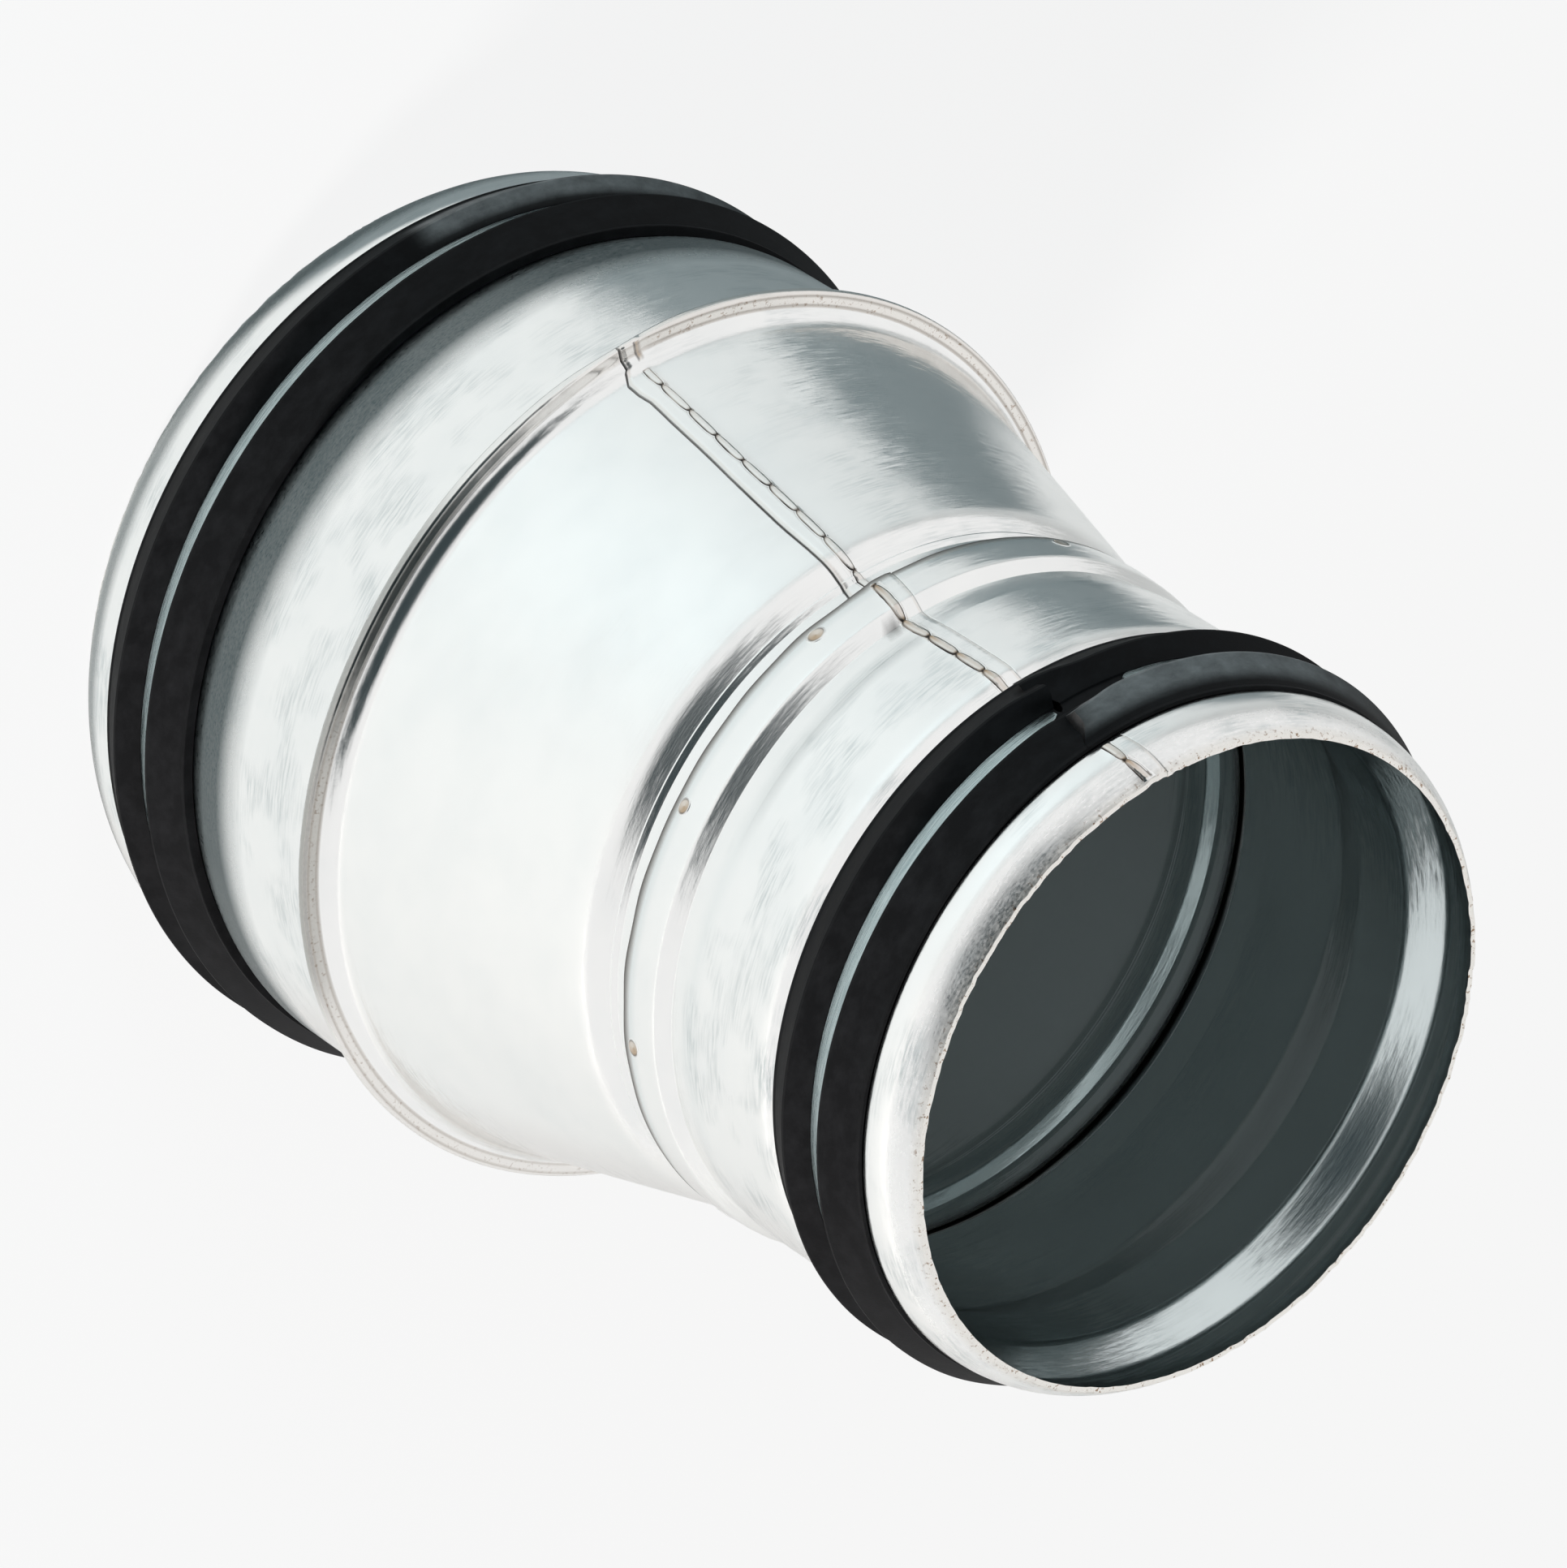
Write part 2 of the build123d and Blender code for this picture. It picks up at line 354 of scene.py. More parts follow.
def sheet_colour(tree, streaks, grain, blotches):
    """Zinc in two shades under dulling, scuffs, heat tint, cut edges, soot, and painted shade and reflection.
    """
    specks = noise(tree, (1.0, 1.0, 1.0), 3.0, 0.7, scale=1.5)
    dash_noise = noise(tree, (0.11, 0.11, 0.16), 2.0, 0.5)
    zinc = blend(tree, span(tree, blotches, 0.4, 0.75, 0.0, 0.45), ZINC, ZINC_DULL)
    # Inner faces are painted darker as painted shade; the small collar also gets two darker bands.
    dull = blend(tree, painted(tree, "dull"), zinc, INSIDE_ZINC)
    dash_patches = span(tree, dash_noise, 0.46, 0.7, 0.0, 0.6)
    dashes = combine(tree, "MULTIPLY", span(tree, streaks, 0.42, 0.62, 0.1, 1.0), dash_patches)
    # Scuffs as darker dashes; on the cone, painted dark streaks inside the mirrored dark band.
    scuffed_and_shaded = blend(tree, painted_share(tree, "scuff", dashes), dull, SCUFF_AND_SHADE)
    # Painted reflection: dark zinc where the shade number is painted, in place of mirrored dark surroundings.
    painted_reflection = blend(tree, painted_share(tree, "shade", span(tree, grain, 0.2, 0.7, 1.0, 0.86)), scuffed_and_shaded, REFLECTION_DARK_ZINC)
    tinted = blend(tree, painted(tree, "tint"), painted_reflection, HEAT_TINT)
    edge = blend(tree, span(tree, specks, 0.58, 0.66, 0.0, 1.0), RAW_EDGE, RUST_SPECK)
    cut = blend(tree, painted(tree, "cut"), tinted, edge)
    # Weld soot, and painted shade in crevices, creases and gaps, share this dark colour.
    return blend(tree, painted(tree, "soot"), cut, SOOT_AND_SHADE)


def sheet_roughness(tree, streaks, grain, blotches):
    """Mill streaks and blotches in the gloss, rougher under soot and where the sheet was bent."""
    rolled = span(tree, streaks, 0.3, 0.7, 0.14, 0.20)
    total = combine(tree, "ADD", rolled, span(tree, blotches, 0.3, 0.7, 0.0, 0.05))
    total = combine(tree, "ADD", total, painted_share(tree, "soot", 0.3))
    return combine(tree, "ADD", total, painted_share(tree, "rough", span(tree, grain, 0.3, 0.7, 0.06, 0.3)))


def galvanised_material():
    """Bright zinc with mill streaks round the duct, and normals that swing with the streaks in patches."""
    material, tree, shader = new_material("galvanised_sheet")
    streaks = noise(tree, (0.24, 0.24, 3.2), 4.0, 0.6)
    grain = noise(tree, (1.6, 1.6, 4.0), 2.0, 0.5)
    blotches = noise(tree, (0.07, 0.07, 0.11), 3.0, 0.6)
    tree.links.new(sheet_colour(tree, streaks, grain, blotches), shader.inputs["Base Color"])
    tree.links.new(sheet_roughness(tree, streaks, grain, blotches), shader.inputs["Roughness"])
    shader.inputs["Metallic"].default_value = 1.0
    patches = span(tree, blotches, 0.4, 0.7, 0.08, 0.28)
    swing = combine(tree, "MULTIPLY", span(tree, streaks, 0.0, 1.0, -1.0, 1.0), patches)
    relief = combine(tree, "ADD", streaks, combine(tree, "MULTIPLY", grain, 0.5))
    round_the_axis(tree, shader, relief, swing, 0.012)
    return material


GALVANISED = galvanised_material()

# %% Rubber and band steel
RUBBER_BLACK = (0.007, 0.007, 0.0075, 1)
RUBBER_WORN = (0.014, 0.014, 0.015, 1)
RUBBER_SHEEN_GREY = (0.24, 0.24, 0.242, 1)
STEEL_DARK = (0.30, 0.37, 0.38, 1)
STEEL_LIGHT = (0.52, 0.60, 0.61, 1)


def rubber_material():
    """Matt black rubber with fine grain, dusty patches, and a painted grey sheen."""
    material, tree, shader = new_material("seal_rubber")
    dust = noise(tree, (0.25, 0.25, 0.5), 4.0, 0.65)
    grain = noise(tree, (2.5, 2.5, 2.5), 2.0, 0.6)
    colour = blend(tree, span(tree, dust, 0.4, 0.75, 0.0, 1.0), RUBBER_BLACK, RUBBER_WORN)
    # Painted sheen: lighter grey wherever the sheen number is painted.
    painted_sheen = painted_share(tree, "painted_sheen", span(tree, dust, 0.3, 0.7, 0.5, 1.0))
    tree.links.new(blend(tree, painted_sheen, colour, RUBBER_SHEEN_GREY), shader.inputs["Base Color"])
    tree.links.new(span(tree, dust, 0.3, 0.7, 0.6, 0.72), shader.inputs["Roughness"])
    shader.inputs["Specular IOR Level"].default_value = 0.08
    bumps(tree, shader, grain, 0.02)
    return material


def band_material():
    """Plain steel strip, a little darker than the sheet, with fine scratches along it."""
    material, tree, shader = new_material("band_steel")
    scratches = noise(tree, (0.2, 0.2, 8.0), 3.0, 0.6)
    colour = blend(tree, span(tree, scratches, 0.35, 0.65, 0.0, 1.0), STEEL_DARK, STEEL_LIGHT)
    tree.links.new(colour, shader.inputs["Base Color"])
    shader.inputs["Metallic"].default_value = 1.0
    tree.links.new(span(tree, scratches, 0.3, 0.7, 0.2, 0.34), shader.inputs["Roughness"])
    bumps(tree, shader, scratches, 0.02)
    return material


RUBBER = rubber_material()
BAND = band_material()

# %% [markdown]
# ## Sections of bent sheet
# A sheet part is one line bent at its corners. The line below is the outer face, from corner to
# corner, with an arc at each bend, and the inner face is the same line moved by the thickness.
# Turned round the axis, the two faces and the cut edges between them make a closed wall.

# %% A bent line
ARC_STEP = 7.0


def unit(vectors):
    """Vectors divided by their own lengths."""
    return vectors / np.linalg.norm(vectors, axis=-1, keepdims=True)


def bend_at(before, corner, after, radius):
    """Arc that rounds one corner: its centre lies on the corner's bisector, radius / sin(half) away."""
    to_before, to_after = unit(before - corner), unit(after - corner)
    half = np.arccos(np.clip(to_before @ to_after, -1, 1)) / 2
    if radius == 0 or half > np.pi / 2 - 1e-4:
        return corner[None]
    centre = corner + unit(to_before + to_after) * radius / np.sin(half)
    start = corner + to_before * radius / np.tan(half) - centre
    finish = corner + to_after * radius / np.tan(half) - centre
    turn = np.pi - 2 * half
    steps = max(3, int(np.ceil(np.degrees(turn) / ARC_STEP)) + 1)
    share = np.linspace(0, 1, steps)[:, None]
    return centre + (np.sin((1 - share) * turn) * start + np.sin(share * turn) * finish) / np.sin(turn)


def bent_line(corners, longest):
    """Points (radius, height) along the line: arcs at the bends and runs cut into equal lengths."""
    corners = np.array(corners, float)
    places, bends = corners[:, :2], corners[:, 2]
    pieces = [places[:1]]
    for index in range(1, len(places) - 1):
        pieces.append(bend_at(places[index - 1], places[index], places[index + 1], bends[index]))
    points = np.vstack([*pieces, places[-1:]])
    runs = np.linalg.norm(np.diff(points, axis=0), axis=1)
    counts = np.maximum(1, np.ceil(runs / longest)).astype(int)
    shares = np.concatenate([np.arange(count) / count + index for index, count in enumerate(counts)])
    shares = np.append(shares, len(counts))
    order = np.arange(len(points))
    return np.column_stack([np.interp(shares, order, points[:, axis]) for axis in (0, 1)])


def line_normals(points):
    """Unit normals on the line's right when radius grows to the right and height upwards."""
    runs = unit(np.diff(points, axis=0))
    along = unit(np.vstack([runs[:1], runs[:-1] + runs[1:], runs[-1:]]))
    return np.column_stack([along[:, 1], -along[:, 0]])


def line_lengths(points):
    """Length along the line at each point."""
    return np.append(0, np.cumsum(np.linalg.norm(np.diff(points, axis=0), axis=1)))


# %% Corners shared by both spigots
RIM_DROP = 2.7
RIM_SLOPE = np.tan(np.radians(35))
GROOVE = ((8.0, 0.0, 3.0), (13.2, 3.2, 2.0), (22.0, 3.2, 3.0), (29.6, 0.0, 6.0))
SEAL = (8.6, 26.5)


def rim_and_groove(radius):
    """Corners (radius, distance from the rim, bend): curled rim, front ramp, floor and rear ramp."""
    rim = [(radius - RIM_DROP, 0, 0), (radius, RIM_DROP / RIM_SLOPE, 10.0)]
    return rim + [(radius - depth, distance, bend) for distance, depth, bend in GROOVE]


def from_large_rim(distance):
    """Height at a distance from the large rim."""
    return distance


def from_small_rim(distance):
    """Height at a distance from the small rim."""
    return TOTAL_LENGTH - distance


def from_small_end(corners):
    """The same corners with distances from the small rim turned into heights, in upward order."""
    return [(radius, from_small_rim(distance), bend) for radius, distance, bend in corners[::-1]]


# %% [markdown]
# ## Walls turned round the axis
# Each wall is a grid: rows follow the section, columns follow the azimuth. Columns crowd together
# at the lap seam, and slide sideways from row to row so that they keep to the seam's crooked edge.

# %% Grid tools


def smooth(value):
    """Smooth step: 0 below 0, 1 above 1, and 3x^2 - 2x^3 between."""
    clipped = np.clip(value, 0, 1)
    return clipped * clipped * (3 - 2 * clipped)


def hump(value, width):
    """Bell curve exp(-(value / width)^2)."""
    return np.exp(-np.square(value / width))


def seam_columns(coarse=1.25, fine=0.045, reach=9.0):
    """Azimuths from SEAM once round: their spacing grows from fine at the seam to coarse at reach."""
    offset = np.linspace(-180, 180, 40001)
    gap = fine + (coarse - fine) * smooth(np.abs(offset) / reach) ** 0.8
    count = np.append(0, np.cumsum(np.diff(offset) / gap[1:]))
    total = int(round(count[-1]))
    return SEAM + np.interp(np.arange(total) * count[-1] / total, count, offset)


def turned(radius, height, azimuth):
    """Points (r cos a, r sin a, z) in metres, for arrays of one shape."""
    angle = np.radians(azimuth)
    return np.stack([radius * np.cos(angle), radius * np.sin(angle), height + 0 * angle], axis=-1) * MM


def grid_faces(rows, columns, close_rows, close_columns):
    """Quads of a grid, joined round where a side is closed."""
    row = np.arange(rows if close_rows else rows - 1)[:, None]
    column = np.arange(columns if close_columns else columns - 1)[None]
    next_row, next_column = (row + 1) % rows, (column + 1) % columns
    here, above = row * columns, next_row * columns
    corners = [here + column, here + next_column, above + next_column, above + column]
    return np.stack(np.broadcast_arrays(*corners), axis=-1).reshape(-1, 4)


def open_ring_faces(points, downwards):
    """Quads of a closed section swept round an open ring, and the caps on its two cut ends."""
    rows, columns = points.shape[:2]
    quads = grid_faces(rows, columns, True, False)
    first = [row * columns for row in range(rows)]
    last = [row * columns + columns - 1 for row in range(rows)]
    if downwards:
        return quads, [first[::-1], last]
    return quads[:, ::-1], [first, last[::-1]]


def make_piece(name, points, faces, material, nodes, paint=None, caps=(), crease=35.0):
    """Mesh from arrays, with painted numbers, that rides on the root body and may stand for solids."""
    mesh = bpy.data.meshes.new(name)
    mesh.from_pydata(points.reshape(-1, 3).tolist(), [], faces.tolist() + [list(cap) for cap in caps])
    for key, values in (paint or {}).items():
        attribute = mesh.attributes.new(key, "FLOAT", "POINT")
        attribute.data.foreach_set("value", np.ascontiguousarray(values, np.float32).ravel())
    mesh.materials.append(material)
    mesh.polygons.foreach_set("use_smooth", np.ones(len(mesh.polygons), bool))
    mesh.set_sharp_from_angle(angle=np.radians(crease))
    piece = bpy.data.objects.new(name, mesh)
    bpy.context.scene.collection.objects.link(piece)
    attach(piece, "root")
    if nodes:
        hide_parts(*nodes)
    print(f"{name}: {len(mesh.polygons)} faces")
    return piece


def wave_sum(azimuth, height, seed, turns, reach, amount):
    """Slow unevenness: eight sine waves of random turn count, rise and phase, added together."""
    draw = np.random.default_rng(seed)
    total = 0 * azimuth + 0 * height
    for _ in range(8):
        turn = draw.integers(1, turns)
        rise = height * draw.uniform(-1, 1) / reach
        total = total + np.sin(np.radians(azimuth) * turn + rise + draw.uniform(0, 6.3))
    return total * amount / 8


def unpainted(azimuth, lengths, dull, scuff=0.0):
    """Zero for each painted number, apart from the dullness and the scuffs of a whole face."""
    zero = 0 * azimuth + 0 * lengths
    plain = {key: zero for key in ("cut", "soot", "tint", "rough", "shade")}
    return plain | {"dull": zero + dull, "scuff": zero + scuff}


def sheet_wall(name, line, lift, sway, paint, drift, columns, nodes):
    """Closed wall of sheet. lift moves the line along its normal, sway along the axis.

    drift slides the columns by the seam sideways, and an end on a rim is cut in the rim's plane.
    """
    normals, lengths = line_normals(line), line_lengths(line)
    spread = 1 - smooth((np.abs(columns - SEAM) - 2.5) / 8)
    azimuth = columns[None] + spread[None] * drift(lengths)[:, None]
    inner = line - SHEET * normals
    for end, step in ((0, line[1] - line[0]), (-1, line[-2] - line[-1])):
        if abs(line[end, 1] - TOTAL_LENGTH) < 0.01 or abs(line[end, 1]) < 0.01:
            inner[end] -= step * (inner[end, 1] - line[end, 1]) / step[1]
    up = lift(azimuth, line[:, 1:], lengths[:, None])
    along = sway(azimuth, line[:, :1], lengths[:, None])
    faces, colours = [], []
    for face, is_inner in ((line, False), (inner, True)):
        radius = face[:, :1] + normals[:, :1] * up
        height = np.clip(face[:, 1:] + normals[:, 1:] * up + along, 0, TOTAL_LENGTH)
        faces.append(turned(radius, height, azimuth))
        colours.append(paint(azimuth, line[:, 1:], lengths[:, None], is_inner))
    points = np.concatenate([faces[0], faces[1][::-1]])
    both = {key: np.concatenate([colours[0][key], colours[1][key][::-1]]) for key in colours[0]}
    quads = grid_faces(points.shape[0], points.shape[1], True, True)
    return make_piece(name, points, quads, GALVANISED, nodes, both)


COLUMNS = seam_columns()
print("columns round a wall:", len(COLUMNS))

# %% [markdown]
# ## The rolled ring's waves
# The ring was folded by rollers, so its edge wanders along the axis by up to 0.65 mm. The same wander
# moves the cone's fold and the collar's flange inside it, so that they stay wrapped.

# %% Ring wander
WANDER_AZIMUTH, WANDER = np.array([
    (-180, 0.05), (-150, 0.0), (-123, 0.0), (-105, 0.0), (-92, 0.15), (-85, 0.42), (-74, 0.65), (-65, 0.60),
    (-55, 0.55), (-45, 0.55), (-30, 0.19), (-10, -0.24), (5, -0.55), (14, -0.15), (40, -0.33), (75, -0.1),
    (110, 0.15), (145, -0.1), (180, 0.05),
]).T


def wrapped(azimuth):
    """The same azimuth between -180 and 180 degrees."""
    return (azimuth + 180) % 360 - 180


def ring_wander(azimuth, radius):
    """Axial shift read between the measured places, growing from the wall to the ring's edge."""
    fine = np.linspace(-180, 180, 721)
    kernel = hump(np.linspace(-3, 3, 25), 1.5)
    wander = np.interp(fine, WANDER_AZIMUTH, WANDER)
    wander = np.convolve(np.pad(wander, 12, mode="edge"), kernel / kernel.sum(), mode="valid")
    return np.interp(wrapped(azimuth), fine, wander) * smooth((radius - 61.3) / 2.6)


# %% [markdown]
# ## Large collar
# A spigot with a curled rim, the groove of its seal, and a flange that the ring grips. The dark zones
# on the curled rim and beside the foot of the seal are painted reflection: dark, rough zinc stands in
# for a dark part of the room mirrored in the metal. The photograph shows dark zones on the curled rim
# and beside the foot of the seal, painted here as dark, rough zinc. That is a guess. They may be a
# dark part of the room in the mirror of the metal, and paint can't move as a mirror image does when
# the light or the view changes.

# %% Large collar
FLANGE = [(LARGE_RADIUS, 57.07, 1.0), (64.4, 57.07, 0)]
LARGE_LINE = bent_line(rim_and_groove(LARGE_RADIUS) + FLANGE, 3.0)


def rim_cut(lengths, azimuth, reach=0.12):
    """1 on the cut edge at the line's start, and 0 past reach."""
    return np.clip(1 - lengths / reach, 0, 1) + 0 * azimuth


def large_lift(azimuth, height, lengths):
    """Slow dents of the wall behind the groove."""
    return wave_sum(azimuth, height, 3, 9, 14, 0.10) * smooth((height - 28) / 6)


def large_sway(azimuth, radius, lengths):
    """The ring's wander at the flange, and a ragged cut edge at the rim."""
    ragged = np.abs(wave_sum(azimuth, 0 * radius, 4, 140, 9, 0.5)) * hump(lengths, 0.5)
    return ring_wander(azimuth, radius) + ragged


def large_paint(azimuth, height, lengths, is_inner):
    """Dull as painted shade inside. Outside scuffed, with dark, rough painted reflection by the seal's foot and
    rim.
    """
    if is_inner:
        return unpainted(azimuth, lengths, 1.0) | {"cut": rim_cut(lengths, azimuth)}
    # Painted reflection: dark zinc beside the seal's foot and on the curled rim, for mirrored dark
    # surroundings.
    by_seal = smooth((38.5 - height) / 5.0) * smooth((height - 25.0) / 1.0) + 0 * azimuth
    on_rim = 1 - smooth((height - 3.4) / 3.0) + 0 * azimuth
    painted_reflection = {"shade": np.maximum(0.95 * by_seal, 0.8 * on_rim), "rough": np.maximum(1.2 * by_seal, 0.8 * on_rim)}
    return unpainted(azimuth, lengths, 0.0, 0.8) | {"cut": rim_cut(lengths, azimuth)} | painted_reflection


sheet_wall(
    "large_collar_sheet", LARGE_LINE, large_lift, large_sway, large_paint,
    lambda lengths: 0 * lengths, COLUMNS, ["large_collar"],
)

# %% [markdown]
# ## Cone
# The conical wall ends in the fold of the ring below and in the neck above, with a slight waist before
# the socket. Its lap seam shows as a step, with painted shade in the crevice beside its free edge. Part
# of the ring is painted darker as painted reflection, as on the large collar. Part of the ring is
# painted darker, which is the same guess as on the large collar.

# %% Cone
WAIST = 48.75
RING_CORNERS = [(63.1, 56.44, 0), (65.3, 56.44, 0.897), (65.3, 58.3, 0.62), (63.2, 58.3, 0)]
CONE_CORNERS = [
    (63.2, 58.3, 0),
    (61.44, 59.36, 4.2),
    (51.2, 101.4, 8.0),
    (49.35, 104.1, 0.1),
    (49.35, 104.3, 0.1),
    (WAIST, 105.05, 0.2),
    (WAIST, 108.3, 0.6),
    (49.95, 110.0, 0.8),
    (49.95, 111.2, 2.0),
    (49.45, 114.2, 0),
]
CONE_LINE = np.vstack([bent_line(RING_CORNERS, 0.19)[:-1], bent_line(CONE_CORNERS, 2.2)])
CONE_LENGTHS = line_lengths(CONE_LINE)
PAST_FOLD = len(CONE_LINE) // 3
WALL_LINE, WALL_LENGTHS = CONE_LINE[PAST_FOLD:], CONE_LENGTHS[PAST_FOLD:]
LAP_EDGE_HEIGHT, LAP_EDGE = np.array([
    (57.3, -90.6), (58.6, -90.5), (59.6, -90.1), (60.8, -89.4), (62.0, -88.9), (63.3, -89.4), (64.0, -89.7),
    (66.4, -89.66), (69.5, -89.5), (75.8, -89.35), (78.9, -89.2), (82.0, -89.0), (88.3, -88.7), (92.9, -88.5),
    (97.6, -88.6), (103.6, -88.5), (105.1, -88.1), (107.0, -87.5), (109.5, -87.2),
]).T
WELD_HEIGHT = (59.0, 62.0, 66.7, 72.3, 77.9, 83.6, 89.2, 95.1, 100.7, 105.4, 109.5)
WELD = (-92.6, -92.5, -92.5, -92.35, -92.2, -92.1, -92.0, -91.8, -91.5, -91.3, -91.1)
NUGGET_CUTS = (58.0, 63.7, 69.5, 75.1, 80.75, 86.4, 92.0, 97.8, 103.6, 109.4)
RING_LAP = -90.6
RING_NUGGET = -92.9
CONE_RISE = 0.34
SOCKET_MOUTH = 108.3


def length_near(radius, height):
    """Length along the cone's line at its point nearest a place."""
    return float(CONE_LENGTHS[np.argmin(np.hypot(*(CONE_LINE - (radius, height)).T))])


FACE_START = length_near(64.68, 58.3)
FACE_END = length_near(63.2, 58.3)
RING_LENGTH = length_near(62.0, 59.2)
CONE_START = float(np.interp(61.5, WALL_LINE[:, 1], WALL_LENGTHS))


def cone_edge(lengths):
    """Azimuth of the lap's free edge at a length along the cone's line."""
    height = np.interp(lengths, CONE_LENGTHS, CONE_LINE[:, 1])
    return np.where(lengths < RING_LENGTH, RING_LAP, np.interp(height, LAP_EDGE_HEIGHT, LAP_EDGE))


def cone_weld(lengths):
    """Azimuth of the weld's middle at a length along the cone's line."""
    height = np.interp(lengths, CONE_LENGTHS, CONE_LINE[:, 1])
    return np.where(lengths < RING_LENGTH, RING_NUGGET, np.interp(height, WELD_HEIGHT, WELD))


def lap_profile(across, from_weld, side):
    """Lift across a lap: a ramp at the weld, a flat top, a rolled edge and a crevice outside it."""
    outside = across * side
    top = smooth(from_weld * side / 0.9 + 1.2) * (1 - smooth((outside + 0.03) / 0.1))
    roll = 0.13 * smooth((outside + 0.85) / 0.85) * (outside < 0.07)
    crevice = 0.14 * hump(outside - 0.13, 0.08)
    return CONE_RISE * top - roll * (top > 0.02) - crevice


def cone_lift(azimuth, height, lengths):
    """The lap seam outside the socket, a dip of the ring where the lap was folded in, and slow dents."""
    radius = np.interp(lengths, CONE_LENGTHS, CONE_LINE[:, 0])
    across = np.radians(azimuth - cone_edge(lengths)) * radius
    from_weld = np.radians(azimuth - cone_weld(lengths)) * radius
    below_socket = 1 - smooth((height - SOCKET_MOUTH) / 0.4)
    hem = smooth((lengths - 2.3) / 0.8)
    ring_dip = 0.38 * hump(azimuth - RING_LAP, 6.0) * (1 - smooth((lengths - 5.0) / 1.5))
    dents = wave_sum(azimuth, height, 7, 8, 16, 0.12) * smooth((height - 64) / 12) * below_socket
    return lap_profile(across, from_weld, 1) * below_socket * hem - ring_dip + dents


def cone_sway(azimuth, radius, lengths):
    """The ring's wander, from the fold to the foot of the wall."""
    return ring_wander(azimuth, radius) * (lengths < CONE_START + 4)


def ring_stain(azimuth):
    """Share of beige stain on the ring's face: strong past the seam, weak in front, medium at the side."""
    places = (-180, -150, -97, -94, -88, -40, -25, 35, 60, 180)
    return np.interp(wrapped(azimuth), places, (0.9, 1.0, 1.0, 0.5, 0.12, 0.12, 0.6, 0.6, 0.4, 0.6))


def cone_paint(azimuth, height, lengths, is_inner):
    """Painted shade in the lap's crevice and neck end; stain, crease lines, painted reflection and a nugget on
    the ring.
    """
    radius = np.interp(lengths, CONE_LENGTHS, CONE_LINE[:, 0])
    across = np.radians(azimuth - cone_edge(lengths)) * radius
    shown = smooth((SOCKET_MOUTH - height) / 0.4)
    # Painted shade in the crevice beside the lap's free edge.
    soot = 0.8 * hump(across - 0.07, 0.11) * shown
    tint = 0.25 * hump(across + 0.3, 0.25) * shown
    on_ring = smooth((lengths - 2.2) / 0.4) * smooth((FACE_END + 0.2 - lengths) / 0.3)
    stained = ring_stain(azimuth)
    lines = hump(lengths - FACE_START - 0.05, 0.16) + hump(lengths - FACE_END + 0.1, 0.16)
    on_face = smooth((lengths - FACE_START + 0.5) / 0.3) * smooth((FACE_END + 0.9 - lengths) / 0.3)
    nugget = hump(azimuth - RING_NUGGET, 0.33) * on_face
    nugget_line = hump(np.abs(azimuth - RING_NUGGET) - 0.34, 0.08) * (nugget > 0.05)
    soot = np.maximum(soot, 0.45 * lines * stained + 0.8 * nugget_line)
    tint = np.maximum(tint, np.maximum(on_ring * (0.1 + 0.12 * stained) + 0.5 * lines * stained, nugget))
    cut = 0.6 * stained * on_ring * smooth((lengths - FACE_START + 0.3) / 0.3)
    # Painted shadow inside, at the neck's end, in the gap against the socket.
    neck_end = 0.5 * smooth((lengths - CONE_LENGTHS[-1] + 0.5) / 0.4)
    if is_inner:
        return unpainted(azimuth, lengths, 1.0) | {"soot": neck_end + 0 * azimuth}
    return unpainted(azimuth, lengths, 0.0) | {
        "soot": np.clip(soot, 0, 1), "tint": np.clip(tint, 0, 1), "cut": cut,
        # Painted reflection: dark streaks where the cone mirrors the floor's shadow as a dark band.
        "scuff": 0.9 * hump(azimuth + 113, 14) + 0 * lengths,
        # Painted reflection: the ring's front is darkened as if it mirrored dark surroundings.
        "shade": 0.6 * on_ring * smooth((azimuth + 68) / 14) * smooth((12 - azimuth) / 14),
    }


sheet_wall(
    "cone_sheet", CONE_LINE, cone_lift, cone_sway, cone_paint,
    lambda lengths: cone_edge(lengths) - SEAM, COLUMNS, ["cone"],
)

# %% [markdown]
# ## Small collar
# The spigot for the small duct. Below its seal groove it narrows to a pressed bead, then swells
# into the socket that is spot welded over the cone's neck.

# %% Small collar
SMALL_CORNERS = rim_and_groove(SMALL_RADIUS) + [
    (49.5, 44.5, 1.0),
    (49.0, 48.8, 0.3),
    (50.45, 51.0, 1.6),
    (50.6, 54.5, 2.6),
    (50.5, 57.2, 0),
]
SMALL_LINE = bent_line(from_small_end(SMALL_CORNERS), 2.2)
SMALL_LENGTHS = line_lengths(SMALL_LINE)
COLLAR_EDGE_HEIGHT = (108.5, 109.5, 112.0, 116.2, 120.0, 122.6, 128.0, 133.9, 139.0, 158.0, 162.0, 165.7)
COLLAR_EDGE = (-94.2, -94.1, -93.5, -92.4, -91.8, -92.0, -92.05, -91.95, -91.6, -92.0, -92.6, -93.1)
COLLAR_WELD_HEIGHT = (108.5, 110.0, 112.5, 115.5, 117.5, 120.0, 125.5, 131.0, 139.0, 158.0, 161.8, 165.7)
COLLAR_WELD = (-90.5, -90.3, -89.9, -89.2, -88.8, -88.6, -88.6, -88.6, -88.5, -88.6, -88.8, -89.7)
COLLAR_NUGGET_CUTS = (105.0, 109.6, 116.8, 122.65, 128.35, 133.9, 139.6, 150.0, 156.6, 162.1, 166.6)


def across_collar_lap(azimuth, height, lengths):
    """(distance across from the lap's free edge, radius) at points of the collar, in millimetres."""
    radius = np.interp(lengths, SMALL_LENGTHS, SMALL_LINE[:, 0])
    return np.radians(azimuth - np.interp(height, COLLAR_EDGE_HEIGHT, COLLAR_EDGE)) * radius, radius


